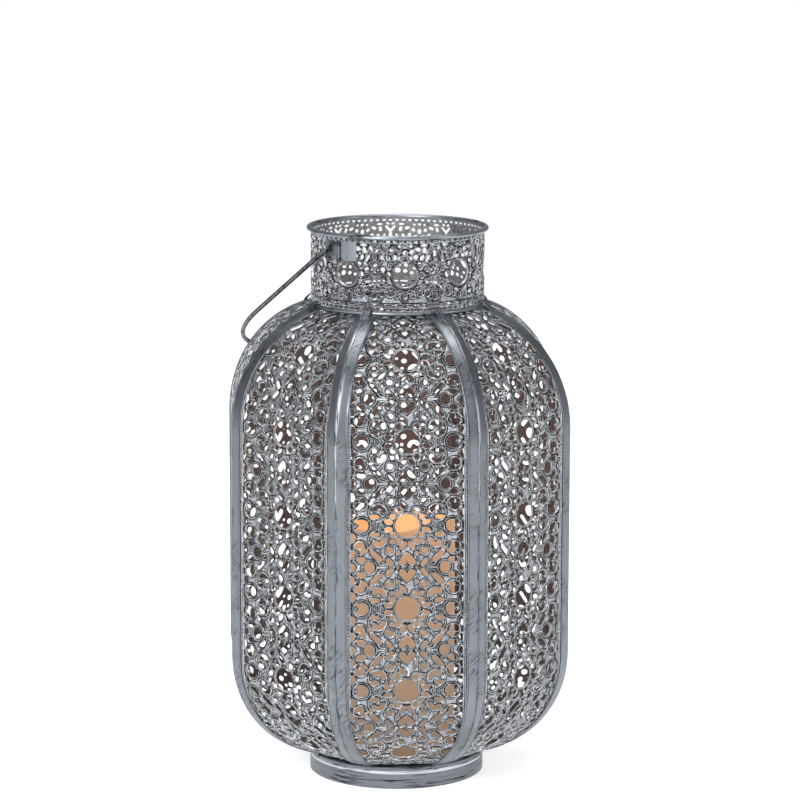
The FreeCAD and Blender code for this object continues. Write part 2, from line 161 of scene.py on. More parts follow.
def panel_field(x, y, flawed):
    """Distance to the nearest pierced hole of a panel. One petal was never punched through."""
    far = np.full(x.shape, FAR)
    for shape in PANEL_ELLIPSES:
        far = np.minimum(far, ellipse(x, y, *shape))
    for shape in PANEL_CAPSULES:
        far = np.minimum(far, capsule(x, y, *shape))
    far = np.minimum(far, outline(x, y, HEART))
    far = np.minimum(far, outline(x, y, TULIP))
    for corners in BORDER_HOLES:
        far = np.minimum(far, outline(x, y, corners) - BORDER_ROUNDING)
    kidney = np.maximum(arc(x, y, *KIDNEY), -ellipse(x, y, *KIDNEY_NICK))
    far = np.minimum(far, kidney)
    petal = ellipse(x, y, *PETAL)
    far = np.minimum(far, np.where(flawed, np.abs(petal) + UNPUNCHED, petal))
    return np.maximum(far, -capsule(x, y, *HOOK))


NECK_HALF = math.pi * NECK_R / NECK_PERIODS
# One half of the neck band's repeat: x from a medallion's middle, y up from it.
NECK_ELLIPSES = [
    (0, 0, 8.5, 8.5), (11.9, 0, 1.5, 2.3), (15.9, 4.1, 1.7, 1.4, 30), (15.9, -4.1, 1.7, 1.4, -30),
    (NECK_HALF, 0.4, 2.5, 1.7), (10.4, 7.6, 1.6, 1.2, -40), (3.2, 12.0, 2.0, 1.1, -12), (7.6, 12.9, 1.5, 1.5),
    (12.2, 12.2, 1.9, 1.2, 65), (0, 15.6, 1.5, 1.9), (4.6, 16.7, 1.6, 1.2, 35), (9.2, 18.2, 2.1, 1.2, -20),
    (0, 20.8, 1.5, 1.0), (14.2, 17.4, 1.3, 2.0, 15), (NECK_HALF, 12.9, 1.4, 2.4), (13.6, 21.0, 2.4, 0.8),
    (10.2, -9.6, 1.6, 1.3, 35), (10.6, -14.0, 1.7, 1.4), (3.5, -11.9, 1.8, 1.1, 15), (5.9, -15.3, 1.5, 1.2),
    (0, -15.5, 1.4, 1.9), (16.3, -13.4, 2.2, 1.9), (NECK_HALF, -15.3, 1.9, 2.5), (16.2, -9.0, 1.4, 1.1),
    (NECK_HALF, -5.2, 1.4, 1.5), (3.9, 20.6, 1.2, 0.9), (19.9, 21.4, 1.6, 0.8, -20),
]
NECK_CAPSULES = [
    (NECK_HALF, 16.0, 18.6, 19.2, 1.1, 0.9), (NECK_HALF, 5.0, 19.7, 8.0, 0.8, 1.5),
    (1.6, -21.4, 6.6, -21.4, 0.6, 0.6), (9.0, -21.4, 14.0, -21.4, 0.6, 0.6),
    (16.4, -21.4, NECK_HALF, -21.4, 0.6, 0.6), (15.4, 9.6, 17.4, 13.2, 0.7, 0.9),
    (13.2, -6.6, 14.6, -10.2, 0.5, 0.5), (18.3, -1.9, 18.9, -7.0, 0.6, 0.9),
]
SLOT_ROWS = (24.0, -24.6)
SLOTS_PER_PERIOD = 9
SLOT_PITCH = 2 * NECK_HALF / SLOTS_PER_PERIOD
SLOT_HALF_WIDTH, SLOT_HALF_HEIGHT = 1.3, 0.75


def neck_field(x, y):
    """Distance to the nearest pierced hole of the neck band."""
    far = np.full(x.shape, FAR)
    for shape in NECK_ELLIPSES:
        far = np.minimum(far, ellipse(x, y, *shape))
    for shape in NECK_CAPSULES:
        far = np.minimum(far, capsule(x, y, *shape))
    along = np.abs((x / SLOT_PITCH) % 1 - 0.5) * SLOT_PITCH
    for row in SLOT_ROWS:
        slot = np.maximum(along - SLOT_HALF_WIDTH, np.abs(y - row) - SLOT_HALF_HEIGHT)
        far = np.minimum(far, slot)
    return far


# ---------------------------------------------------------------- cutting the pattern

def cut(poly, values, level, keep_above):
    """Clip a convex polygon of (u, s) corners where a value crosses a level."""
    kept, kept_values = [], []
    sign = 1 if keep_above else -1
    count = len(poly)
    for i in range(count):
        a, b = poly[i], poly[(i + 1) % count]
        va, vb = values[i], values[(i + 1) % count]
        if (va[0] - level) * sign >= 0:
            kept.append(a)
            kept_values.append(va)
        if (va[0] < level) != (vb[0] < level):
            if va[0] > vb[0]:
                a, b, va, vb = b, a, vb, va
            t = (level - va[0]) / (vb[0] - va[0])
            kept.append((a[0] + (b[0] - a[0]) * t, a[1] + (b[1] - a[1]) * t))
            kept_values.append(tuple([level] + [p + (q - p) * t for p, q in zip(va[1:], vb[1:])]))
    return kept, kept_values


def pierced_sheet(us, ss, field, limit):
    """Polygons of a flat pierced sheet. `field` is the distance to the nearest hole at each grid
    point and `limit` is positive inside the sheet's outline.
    Returns the points, their field values, the front faces and the back faces."""
    index, points, edge = {}, [], []

    def number(p, value):
        key = (round(p[0], 5), round(p[1], 5))
        if key not in index:
            index[key] = len(points)
            points.append(p)
            edge.append(value)
        return index[key]

    front, back = [], []
    for j in range(len(ss) - 1):
        for i in range(len(us) - 1):
            square = ((j, i), (j, i + 1), (j + 1, i + 1), (j + 1, i))
            f = [field[c] for c in square]
            g = [limit[c] for c in square]
            if max(f) <= 0 or max(g) <= 0:
                continue
            poly = [(us[c[1]], ss[c[0]]) for c in square]
            if min(g) < 0:
                poly, pairs = cut(poly, list(zip(g, f)), 0.0, True)
                f = [pair[1] for pair in pairs]
            if len(poly) < 3 or max(f) <= 0:
                continue
            values = [(value,) for value in f]
            if min(f) < 0:
                poly, values = cut(poly, values, 0.0, True)
            if len(poly) < 3:
                continue
            face = [number(p, v[0]) for p, v in zip(poly, values)]
            back.append(face)
            f = [v[0] for v in values]
            if min(f) < RIM_WIDTH < max(f):
                for above in (False, True):
                    part, part_values = cut(poly, values, RIM_WIDTH, above)
                    if len(part) >= 3:
                        front.append([number(p, v[0]) for p, v in zip(part, part_values)])
            else:
                front.append(face)
    return points, edge, tidy(front), tidy(back)


def tidy(faces):
    """Drop repeated corners, and faces that had no area."""
    out = []
    for face in faces:
        clean = [v for k, v in enumerate(face) if v != face[k - 1]]
        if len(clean) >= 3 and len(set(clean)) == len(clean):
            out.append(clean)
    return out


def relief(edge):
    """Height of the embossed face over its distance to a hole: lip, groove, then plain."""
    return np.interp(edge, [0, RIM_WIDTH, 1.0, 1.6, 2.5], [0.0, 0.30, -0.34, -0.02, 0.06])


def closed_sheet(name, flat, place, thick):
    """Mesh of a pierced sheet with both faces and its walls. `place` turns (u, s, height) into mm."""
    points, edge, front, back = flat
    uv = np.array(points)
    edge = np.array(edge)
    used = sorted({v for face in back for v in face})
    count = len(points)
    back_index = {v: count + k for k, v in enumerate(used)}
    top = place(uv[:, 0], uv[:, 1], relief(edge))
    bottom = place(uv[used, 0], uv[used, 1], np.full(len(used), -thick))
    faces = list(front)
    slots = [0] * len(front)
    for face in back:
        faces.append([back_index[v] for v in reversed(face)])
    slots += [1] * len(back)
    seen = {}
    for face in back:
        for k in range(len(face)):
            seen[(face[k - 1], face[k])] = True
    for a, b in seen:
        if (b, a) not in seen:
            faces.append([b, a, back_index[a], back_index[b]])
            slots.append(0)
    mesh = bpy.data.meshes.new(name)
    mesh.from_pydata([], [], [])
    verts = np.vstack([top, bottom]) * MM
    mesh.from_pydata(verts.tolist(), [], faces)
    mesh.polygons.foreach_set("material_index", np.array(slots, np.int32))
    mesh.validate()
    flat_u = np.concatenate([uv, uv[used]])
    distance = np.concatenate([edge, edge[used]])
    return mesh, flat_u, distance


def store(mesh, name, values, kind="FLOAT"):
    """A per-vertex attribute for the materials."""
    layer = mesh.attributes.new(name, kind, "POINT")
    layer.data.foreach_set("value" if kind == "FLOAT" else "vector", np.asarray(values, np.float32).ravel())


# ---------------------------------------------------------------- the bent shell

def meridian():
    """Table of the panels' outer face: distance up it, radius, height and outward normal."""
    foot_c, head_c = (RIDGE_R - FOOT_BEND) * COS_SEAM, (RIDGE_R - HEAD_BEND) * COS_SEAM
    fa, fb = FOOT_BEND * COS_SEAM - SHEET, FOOT_BEND - SHEET
    ha, hb = HEAD_BEND * COS_SEAM - SHEET, HEAD_BEND - SHEET
    low = np.linspace(math.acos((FOOT_END_R - foot_c) / fa), 0, BEND_STEPS)
    high = np.linspace(0, math.acos((HEAD_END_R - head_c) / ha), BEND_STEPS)
    r = np.concatenate([foot_c + fa * np.cos(low), head_c + ha * np.cos(high)])
    z = np.concatenate([FOOT_Z - fb * np.sin(low), HEAD_Z + hb * np.sin(high)])
    nr = np.concatenate([np.cos(low) / fa, np.cos(high) / ha])
    nz = np.concatenate([-np.sin(low) / fb, np.sin(high) / hb])
    size = np.hypot(nr, nz)
    along = np.concatenate([[0], np.cumsum(np.hypot(np.diff(r), np.diff(z)))])
    along -= along[BEND_STEPS - 1] - (FOOT_Z - WINDOW_Z)
    return along, r, z, nr / size, nz / size


ALONG, MR, MZ, MNR, MNZ = meridian()
S_LOW, S_HIGH = ALONG[0], ALONG[-1]


def at_meridian(s):
    return [np.interp(s, ALONG, column) for column in (MR, MZ, MNR, MNZ)]


def on_panel(u, s, h):
    """A point of the panel that faces +X."""
    r, z, nr, nz = at_meridian(s)
    return np.stack([r + h * nr, u, z + h * nz], axis=1)


def turned(mesh, name, degrees):
    """A copy of a mesh made facing +X, turned to face an angle round the axis from -Y."""
    copy = mesh.copy()
    copy.name = name
    copy.transform(Matrix.Rotation(math.radians(degrees - 90), 4, "Z"))
    return copy


def piece(name, mesh, body, replaced=(), materials=()):
    """Put a finished mesh in the scene on its body."""
    for material in materials:
        mesh.materials.append(material)
    obj = bpy.data.objects.new(name, mesh)
    bpy.context.collection.objects.link(obj)
    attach(obj, body)
    if replaced:
        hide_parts(*replaced)
    return obj


def smooth(mesh, degrees=35):
    mesh.shade_smooth()
    mesh.set_sharp_from_angle(angle=math.radians(degrees))


# ---------------------------------------------------------------- material helpers

class Shade:
    """A material with short calls for its nodes."""

    def __init__(self, name, **sockets):
        self.material = bpy.data.materials.new(name)
        self.material.use_nodes = True
        self.tree = self.material.node_tree
        self.bsdf = self.tree.nodes["Principled BSDF"]
        for socket, value in sockets.items():
            self.bsdf.inputs[socket.replace("_", " ")].default_value = value

    def node(self, kind, **inputs):
        made = self.tree.nodes.new(kind)
        for key, value in inputs.items():
            self.put(made.inputs[key.replace("_", " ")], value)
        return made

    def put(self, socket, value):
        if isinstance(value, bpy.types.NodeSocket):
            self.tree.links.new(value, socket)
        else:
            socket.default_value = value

    def math(self, operation, a, b=0.0, c=0.0):
        made = self.tree.nodes.new("ShaderNodeMath")
        made.operation = operation
        for socket, value in zip(made.inputs, (a, b, c)):
            self.put(socket, value)
        return made.outputs[0]

    def coordinates(self):
        return self.node("ShaderNodeTexCoord").outputs["Object"]

    def scaled(self, vector, x, y, z):
        made = self.node("ShaderNodeMapping")
        self.put(made.inputs["Vector"], vector)
        made.inputs["Scale"].default_value = (x, y, z)
        return made.outputs[0]

    def noise(self, vector, scale, detail=3.0, roughness=0.55):
        made = self.node("ShaderNodeTexNoise", Scale=scale, Detail=detail, Roughness=roughness)
        self.put(made.inputs["Vector"], vector)
        return made.outputs[0]

    def ramp(self, factor, stops):
        made = self.node("ShaderNodeValToRGB")
        self.put(made.inputs[0], factor)
        marks = made.color_ramp.elements
        while len(marks) < len(stops):
            marks.new(1.0)
        for mark, (position, colour) in zip(marks, stops):
            mark.position = position
            if not isinstance(colour, tuple):
                colour = (colour, colour, colour)
            mark.color = (*colour, 1.0)
        return made.outputs[0]

    def mix(self, factor, a, b):
        made = self.tree.nodes.new("ShaderNodeMix")
        made.data_type = "RGBA"
        self.put(made.inputs[0], factor)
        for socket, value in ((made.inputs[6], a), (made.inputs[7], b)):
            if isinstance(value, tuple):
                value = (*value, 1.0)
            self.put(socket, value)
        return made.outputs[2]

    def attribute(self, name):
        made = self.tree.nodes.new("ShaderNodeAttribute")
        made.attribute_name = name
        return made

    def bump(self, height, distance, strength=1.0):
        made = self.node("ShaderNodeBump", Strength=strength, Distance=distance)
        self.put(made.inputs["Height"], height)
        return made.outputs[0]

    def finish(self, **sockets):
        for socket, value in sockets.items():
            self.put(self.bsdf.inputs[socket.replace("_", " ")], value)
        return self.material


# The pale colour also serves as a painted highlight on raised lips and ridges, and the near-black one as
# painted shade in the grooves beside them as well as real tarnish.
SILVER = (0.205, 0.222, 0.245)
PALE = (0.80, 0.82, 0.85)
TARNISH_AND_SHADE = (0.014, 0.014, 0.016)
FACE = (0.32, 0.335, 0.36)


def plain_metal(name, stretch, streak_scale, streak_at=0.62, tone=SILVER, highlight_height=None):
    """Brushed antique finish: black rubbed into long streaks, fine scratches and cloudy tone.
    A raised line at the given height gets a painted highlight, weaker where the streaks are dark."""
    s = Shade(name, Metallic=1.0)
    where = s.coordinates()
    streaks = s.noise(s.scaled(where, *stretch), streak_scale, 6.0, 0.62)
    cloud = s.noise(where, 55.0, 3.0)
    fine = s.noise(s.scaled(where, 1.0, 1.0, 0.12), 2600.0, 2.0)
    dark = s.ramp(streaks, [(streak_at - 0.05, 0.0), (streak_at + 0.07, 1.0)])
    colour = s.mix(cloud, tuple(0.8 * c for c in tone), tuple(1.15 * c for c in tone))
    colour = s.mix(dark, colour, TARNISH_AND_SHADE)
    # painted highlight along the raised line at the given height
    if highlight_height:
        height = s.node("ShaderNodeSeparateXYZ", Vector=where).outputs[2]
        off = s.math("DIVIDE", s.math("ABSOLUTE", s.math("SUBTRACT", height, highlight_height)), 0.0016)
        line_highlight = s.ramp(s.math("MULTIPLY_ADD", dark, 0.4, off), [(0.35, 0.9), (0.9, 0.0)])
        colour = s.mix(line_highlight, colour, PALE)
    rough = s.math("MULTIPLY_ADD", cloud, 0.25, 0.28)
    rough = s.math("MULTIPLY_ADD", dark, 0.2, rough)
    return s.finish(Base_Color=colour, Roughness=rough, Normal=s.bump(fine, 0.00004, 0.6))


def filigree_metal(name, lines_of):
    """Embossed sheet: painted highlights on the lips round the holes and on the ridges, and painted shade
    with some patina, black, in the grooves beside them.
    """
    s = Shade(name, Metallic=1.0)
    where = s.coordinates()
    edge = s.attribute("edge").outputs["Fac"]
    cell = s.node("ShaderNodeSeparateXYZ", Vector=s.attribute("cell").outputs["Vector"])
    edge = s.math("MINIMUM", edge, lines_of(s, cell.outputs[0], cell.outputs[1]))
    speck = s.noise(where, 950.0, 3.0, 0.65)
    grains = s.noise(where, 520.0, 2.0, 0.6)
    cloud = s.noise(where, 60.0, 2.0)
    share = s.math("DIVIDE", edge, 3.0)
    # painted highlight on each lip and ridge, then painted shade with some patina, black, in the groove
    # beside it, then the plain face
    tone = s.ramp(share, [(0.0, PALE), (0.12, PALE), (0.16, TARNISH_AND_SHADE), (0.31, TARNISH_AND_SHADE),
                          (0.39, FACE), (1.0, FACE)])
    tone = s.mix(s.ramp(speck, [(0.6, 0.0), (0.7, 0.8)]), tone, TARNISH_AND_SHADE)
    tone = s.mix(s.ramp(grains, [(0.58, 0.0), (0.68, 0.7)]), tone, PALE)
    tone = s.mix(s.ramp(cloud, [(0.5, 0.0), (0.8, 0.45)]), tone, TARNISH_AND_SHADE)
    height = s.ramp(share, [(0.0, 0.5), (0.1, 1.0), (0.25, 0.0), (0.45, 0.5), (1.0, 0.55)])
    height = s.math("MULTIPLY_ADD", speck, 0.45, height)
    height = s.math("MULTIPLY_ADD", grains, 0.5, height)
    rough = s.math("MULTIPLY_ADD", cloud, 0.18, 0.2)
    return s.finish(Base_Color=tone, Roughness=rough, Normal=s.bump(height, 0.0011, 1.0))


RIDGE_OFFSET = 0.05          # keeps a ridge's crest just off a hole's own lip


class Drawing:
    """Raised lines worked out as a distance from the place (x, y) in one repeat."""

    def __init__(self, shade, x, y):
        self.s, self.x, self.y, self.lines = shade, x, y, None

    def keep(self, distance):
        self.lines = distance if self.lines is None else self.s.math("MINIMUM", self.lines, distance)

    def from_point(self, cx, cy):
        dx, dy = self.s.math("SUBTRACT", self.x, cx), self.s.math("SUBTRACT", self.y, cy)
        square = self.s.math("MULTIPLY_ADD", dx, dx, self.s.math("MULTIPLY", dy, dy))
        return dx, dy, self.s.math("SQRT", square)

    def ring(self, cx, cy, radius, teeth=0.0, depth=0.0, thin=1.0):
        dx, dy, reach = self.from_point(cx, cy)
        line = self.s.math("ABSOLUTE", self.s.math("SUBTRACT", reach, radius))
        if teeth:
            turns = self.s.math("MULTIPLY", self.s.math("ARCTAN2", dy, dx), teeth / 2)
            notch = self.s.math("ABSOLUTE", self.s.math("SINE", turns))
            line = self.s.math("MULTIPLY_ADD", notch, depth, line)
        self.keep(self.s.math("MULTIPLY", line, thin))

    def stroke(self, x1, y1, x2, y2):
        """A straight ridge between two points."""
        dx, dy, _ = self.from_point(x1, y1)
        length = math.hypot(x2 - x1, y2 - y1)
        ex, ey = (x2 - x1) / length, (y2 - y1) / length
        along = self.s.math("MULTIPLY_ADD", dx, ex, self.s.math("MULTIPLY", dy, ey))
        aside = self.s.math("ABSOLUTE", self.s.math("MULTIPLY_ADD", dx, -ey, self.s.math("MULTIPLY", dy, ex)))
        half = length / 2
        over = self.s.math("ABSOLUTE", self.s.math("SUBTRACT", along, half))
        over = self.s.math("MAXIMUM", self.s.math("SUBTRACT", over, half), 0.0)
        self.keep(self.s.math("ADD", aside, over))

    def beads(self, coordinate, middle, along, pitch):
        """A row of round beads."""
        line = self.s.math("ABSOLUTE", self.s.math("SUBTRACT", coordinate, middle))
        wave = self.s.math("ABSOLUTE", self.s.math("SINE", self.s.math("MULTIPLY", along, math.pi / pitch)))
        self.keep(self.s.math("MULTIPLY", self.s.math("MULTIPLY_ADD", wave, 0.5, line), 0.5))


# Corners of the straight ridges: two chevrons, a palmette's three blades and its stem, and single bars.
PANEL_RIDGES = [
    ((16.6, 0.0), (18.9, 3.0), (17.6, 5.6)), ((18.4, 0.0), (20.6, 2.6), (19.6, 4.6)),
    ((13.6, 29.6), (21.0, 29.3)), ((13.6, 28.6), (18.6, 27.9), (20.4, 26.0)),
    ((13.6, 27.6), (16.8, 26.4), (18.4, 24.2)), ((12.2, 29.6), (11.4, 26.4), (13.6, 22.6)),
    ((0.8, 29.0), (4.4, 29.7)), ((5.2, 16.6), (7.4, 21.0), (7.8, 24.6)),
    ((16.0, 15.2), (19.2, 19.4)), ((34.6, 21.4), (38.4, 25.6)),
]
# Middle and radius of the round ridges.
PANEL_RINGS = [(20.6, 9.4, 6.4), (32.6, 15.6, 4.9), (26.5, 29.6, 5.3), (31.7, 0, 6.2), (12.1, 17.5, 3.4),
               (6.3, 10.65, 3.1)]
WINDOW_RIM = (0, 0, 9.5, 44, 0.4, 0.7)
FLOWER = (22.9, 0)
BORDER_BEADS = (40.05, 41.35)
BEAD_PITCH = 1.5


def panel_lines(s, x, y):
    """Ridges of one quarter of a panel's repeat: beaded rosette rim, scrolls, chevrons and border."""
    d = Drawing(s, x, y)
    d.ring(*WINDOW_RIM)
    for ring in PANEL_RINGS:
        d.ring(*ring)
    d.ring(*FLOWER, 2.7, 6, 0.5)
    d.ring(*FLOWER, 0.3)
    for corners in PANEL_RIDGES:
        for (x1, y1), (x2, y2) in zip(corners, corners[1:]):
            d.stroke(x1, y1, x2, y2)
    for middle in BORDER_BEADS:
        d.beads(x, middle, y, BEAD_PITCH)
    return s.math("ADD", d.lines, RIDGE_OFFSET)


MEDALLION_RIM = (0, 0, 9.7, 44, 0.4, 0.7)
NECK_RINGS = [(0, 14.2, 5.2), (8.6, 14.8, 4.4), (21.0, 13.0, 6.0), (10.4, -11.8, 3.9), (0, -15.4, 3.6),
              (21.0, -14.8, 5.0)]
NECK_RIDGES = [(21.3, -9.0, 21.3, 6.0), (21.3, -2.0, 14.6, 5.4), (21.3, -2.6, 14.6, -6.6),
               (11.6, 0.0, 18.0, 0.0), (14.4, 9.6, 17.6, 18.8)]
NECK_BEAD_ROWS = (-25.9, -23.3, 22.6, 25.2)
NECK_BEAD_PITCH = 1.6


def neck_lines(s, x, y):
    """Ridges of one half of the neck band's repeat: rings, arch and branches between the medallions."""
    d = Drawing(s, x, y)
    d.ring(*MEDALLION_RIM)
    for ring in NECK_RINGS:
        d.ring(*ring)
    for ridge in NECK_RIDGES:
        d.stroke(*ridge)
    for row in NECK_BEAD_ROWS:
        d.beads(y, row, x, NECK_BEAD_PITCH)
    return s.math("ADD", d.lines, RIDGE_OFFSET)


def inner_face(name, dark, light):
    """A sheet's unpolished inside, with the pattern's dents showing through."""
    s = Shade(name, Metallic=0.6, Roughness=0.45)
    where = s.coordinates()
    cloud = s.noise(where, 90.0, 4.0)
    speck = s.noise(where, 700.0, 3.0, 0.6)
    colour = s.mix(cloud, dark, light)
    colour = s.mix(s.ramp(speck, [(0.52, 0.0), (0.66, 0.8)]), colour, tuple(0.35 * c for c in dark))
    return s.finish(Base_Color=colour, Normal=s.bump(speck, 0.0007, 1.0))


# ---------------------------------------------------------------- panels

FILIGREE = filigree_metal("pierced_antique_silver", panel_lines)
NECK_METAL = filigree_metal("pierced_neck_silver", neck_lines)
# painted shade: the panels' inside is given a darker, warmer colour than the neck's
SHADED_INNER = inner_face("shaded_inner_sheet", (0.12, 0.10, 0.098), (0.27, 0.23, 0.225))
# painted light: the neck's inside is given a lighter grey, as if lit from above
LIT_NECK_INNER = inner_face("lit_inner_neck_sheet", (0.13, 0.135, 0.145), (0.42, 0.43, 0.45))


# The grid that a panel is cut from: fine where it shows, coarse under the ribs.
COLUMN_WIDTH, FINE_COLUMNS = 0.885, 48
UNDER_RIB_COLUMNS = [45.0, 48.0, 50.6]
ROWS_PER_HALF_PITCH = 33
LAP = 0.9                    # how far the piercing runs in under a rib's edge


def make_panels():
    columns = np.arange(0, FINE_COLUMNS + 1) * COLUMN_WIDTH
    columns = np.concatenate([columns, UNDER_RIB_COLUMNS])
    us = np.concatenate([-columns[:0:-1], columns])
    step = HALF_PITCH / ROWS_PER_HALF_PITCH
    ss = np.arange(math.floor(S_LOW / step), math.ceil(S_HIGH / step) + 1) * step
    ss = np.concatenate([[S_LOW], ss[(ss > S_LOW + 0.1) & (ss < S_HIGH - 0.1)], [S_HIGH]])
    u, s = np.meshgrid(us, ss)
    place = (s + HALF_PITCH) % PITCH - HALF_PITCH
    x, y = np.abs(u), np.abs(place)
    flawed = (u > 0) & (place > 0)
    field = panel_field(x, y, flawed)
    half_width = (np.interp(s, ALONG, MR) + SHEET) * math.tan(SEAM) - SEAM_GAP
    under = x - (half_width - FLANGE + LAP)
    field = np.maximum(field, under)
    field = np.maximum(field, FRAME_MARGIN - (s - S_LOW))
    field = np.maximum(field, FRAME_MARGIN - (S_HIGH - s))
    limit = half_width - x
    flat = pierced_sheet(us, ss, field, limit)
    mesh, uv, edge = closed_sheet("filigree_sheet", flat, on_panel, SHEET - BACK_INSET)
    store(mesh, "edge", edge)
    fold = (uv[:, 1] + HALF_PITCH) % PITCH - HALF_PITCH
    store(mesh, "cell", np.stack([np.abs(uv[:, 0]), np.abs(fold), 0 * fold], axis=1), "FLOAT_VECTOR")
    smooth(mesh, 50)
    print("panel faces", len(mesh.polygons), "triangles", sum(len(p.vertices) - 2 for p in mesh.polygons))
    for k in range(SIDES):
        name = f"pierced_panel_{k + 1}"
        piece(name, turned(mesh, name, 45 * k), "lantern", [f"filigree_panel_{k + 1}"],
              [FILIGREE, SHADED_INNER])
    bpy.data.meshes.remove(mesh)


# ---------------------------------------------------------------- ribs

def rib_metal():
    """Smooth blue-grey strip, black rubbed along the ridge and the lips, with slanting scratches.
    A painted highlight brightens the ridge's crest over the shoulder. `strip` holds mm across, mm along and a
    rib's own shift."""
    s = Shade("brushed_rib", Metallic=1.0)
    place = s.node("ShaderNodeSeparateXYZ", Vector=s.attribute("strip").outputs["Vector"])
    across, along = place.outputs[0], place.outputs[1]
    where = s.coordinates()
    cloud = s.noise(where, 30.0, 4.0)
    vector = s.node("ShaderNodeCombineXYZ", X=s.math("MULTIPLY", across, 2.2),
                    Y=s.math("MULTIPLY", along, 0.07), Z=place.outputs[2]).outputs[0]
    long_streak = s.noise(vector, 1.0, 5.0, 0.6)
    ridge = s.math("SUBTRACT", 1.0, s.math("MINIMUM", s.math("DIVIDE", s.math("ABSOLUTE", across), 3.2), 1.0))
    ridge_dark = s.ramp(s.math("MULTIPLY_ADD", ridge, 0.34, long_streak), [(0.76, 0.0), (0.86, 1.0)])
    lip = s.math("SUBTRACT", s.math("ABSOLUTE", across), 7.0)
    by_lip = s.math("SUBTRACT", 0.6, s.math("ABSOLUTE", lip))
    lip_dark = s.ramp(s.math("MULTIPLY_ADD", by_lip, 0.5, long_streak), [(0.6, 0.0), (0.8, 0.85)])
    crest = s.math("SUBTRACT", 1.0, s.math("MINIMUM", s.math("DIVIDE", s.math("ABSOLUTE", across), 0.8), 1.0))
    upper_highlight = s.ramp(s.math("MULTIPLY_ADD", along, 0.008, 0.5), [(0.45, 0.0), (0.75, 0.9)])
    uphill = s.math("MULTIPLY_ADD", along, 0.9, s.math("MULTIPLY", across, 0.9))
    downhill = s.math("MULTIPLY", s.math("SUBTRACT", along, across), 0.06)
    slant = s.node("ShaderNodeCombineXYZ", X=uphill, Y=downhill, Z=place.outputs[2]).outputs[0]
    scratch = s.noise(slant, 1.6, 3.0, 0.7)
    patches = s.noise(where, 38.0, 2.0)
    scratch_dark = s.math("MULTIPLY", s.ramp(scratch, [(0.53, 0.0), (0.6, 0.9)]),
                          s.ramp(patches, [(0.47, 0.0), (0.56, 1.0)]))
    dark = s.math("MAXIMUM", s.math("MAXIMUM", ridge_dark, lip_dark), scratch_dark)
    colour = s.mix(cloud, tuple(0.85 * c for c in SILVER), tuple(1.15 * c for c in SILVER))
    # painted highlight on the ridge's crest, stronger higher up the rib
    colour = s.mix(s.math("MULTIPLY", crest, upper_highlight), colour, PALE)
    colour = s.mix(dark, colour, TARNISH_AND_SHADE)
    rough = s.math("MULTIPLY_ADD", cloud, 0.2, 0.3)
    return s.finish(Base_Color=colour, Roughness=rough, Normal=s.bump(scratch, 0.00005, 0.5))


def strip_point(t, s, h):
    """A point of the rib whose ridge is on +X: t from the ridge, h out from its flat face."""
    r, z, nr, nz = at_meridian(s)
    r, z = r + SHEET * nr, z + SHEET * nz
    u = r * math.tan(SEAM) - t
    x, y = r + h * nr, u
    c, k = math.cos(-SEAM), math.sin(-SEAM)
    return np.stack([x * c - y * k, x * k + y * c, z + h * nz], axis=1)


RIDGE_SOFT, RIDGE_DROP = 2.3, 0.48  # half-width of a rib's rounded ridge, and how far it is lowered
RIB_ROWS = 60
RIB_SHIFT = 7.3              # sets each rib's streaks apart from its neighbours'


def make_ribs():
    # (mm from the ridge, mm out from the flat face): softened ridge, face, rolled lip, then the inside
    profile = [(t, -RIDGE_DROP * max(0.0, 1 - t / RIDGE_SOFT) ** 2)
               for t in (0, 0.45, 0.9, 1.35, 1.8, RIDGE_SOFT, 4.2, 6.2)]
    profile += [(6.9, 0.0), (7.2, 0.10), (7.5, 0.24), (7.8, 0.24), (8.1, 0.06), (8.2, -0.3), (8.15, -0.72)]
    profile += [(4.2, -0.74), (1.6, -0.8), (0.6, -1.1), (0.0, -1.2)]
    ss = np.concatenate([np.linspace(S_LOW, FOOT_Z - WINDOW_Z, RIB_ROWS)[:-1],
                         np.linspace(FOOT_Z - WINDOW_Z, HEAD_Z - WINDOW_Z, RIB_ROWS)[:-1],
                         np.linspace(HEAD_Z - WINDOW_Z, S_HIGH, RIB_ROWS)])
    columns, across = [], []
    for t, h in profile:
        columns.append(strip_point(np.full(len(ss), t), ss, np.full(len(ss), h)))
        across.append(t)
    for t, h in profile[-2:0:-1]:
        mirror = strip_point(np.full(len(ss), t), ss, np.full(len(ss), h))
        mirror[:, 1] *= -1
        columns.append(mirror)
        across.append(-t)
    count, rows = len(columns), len(ss)
    verts = np.concatenate(columns)
    faces = []
    for c in range(count):
        n = (c + 1) % count
        for r in range(rows - 1):
            faces.append([c * rows + r, c * rows + r + 1, n * rows + r + 1, n * rows + r])
    faces.append([c * rows for c in range(count)])
    faces.append([c * rows + rows - 1 for c in reversed(range(count))])
    mesh = bpy.data.meshes.new("rib_strip")
    mesh.from_pydata((verts * MM).tolist(), [], faces)
    strip = np.stack([np.repeat(across, rows), np.tile(ss, count), np.zeros(count * rows)], axis=1)
    store(mesh, "strip", strip, "FLOAT_VECTOR")
    smooth(mesh, 40)
    metal = rib_metal()
    for k in range(SIDES):
        name = f"seam_rib_{k + 1}"
        copy = turned(mesh, name, 45 * (k + 0.5))
        strip[:, 2] = k * RIB_SHIFT
        copy.attributes["strip"].data.foreach_set("vector", strip.astype(np.float32).ravel())
        piece(name, copy, "lantern", [f"rib_{k + 1}"], [metal])
    bpy.data.meshes.remove(mesh)
    for name, path in (("rib_tab", FOOT_TAB), ("rib_head", HEAD_TAB)):
        tab = tab_mesh(path)
        for k in range(SIDES):
            label = f"{name}_{k + 1}"
            piece(label, turned(tab, label, 45 * (k + 0.5)), "lantern", (), [metal])
        bpy.data.meshes.remove(tab)


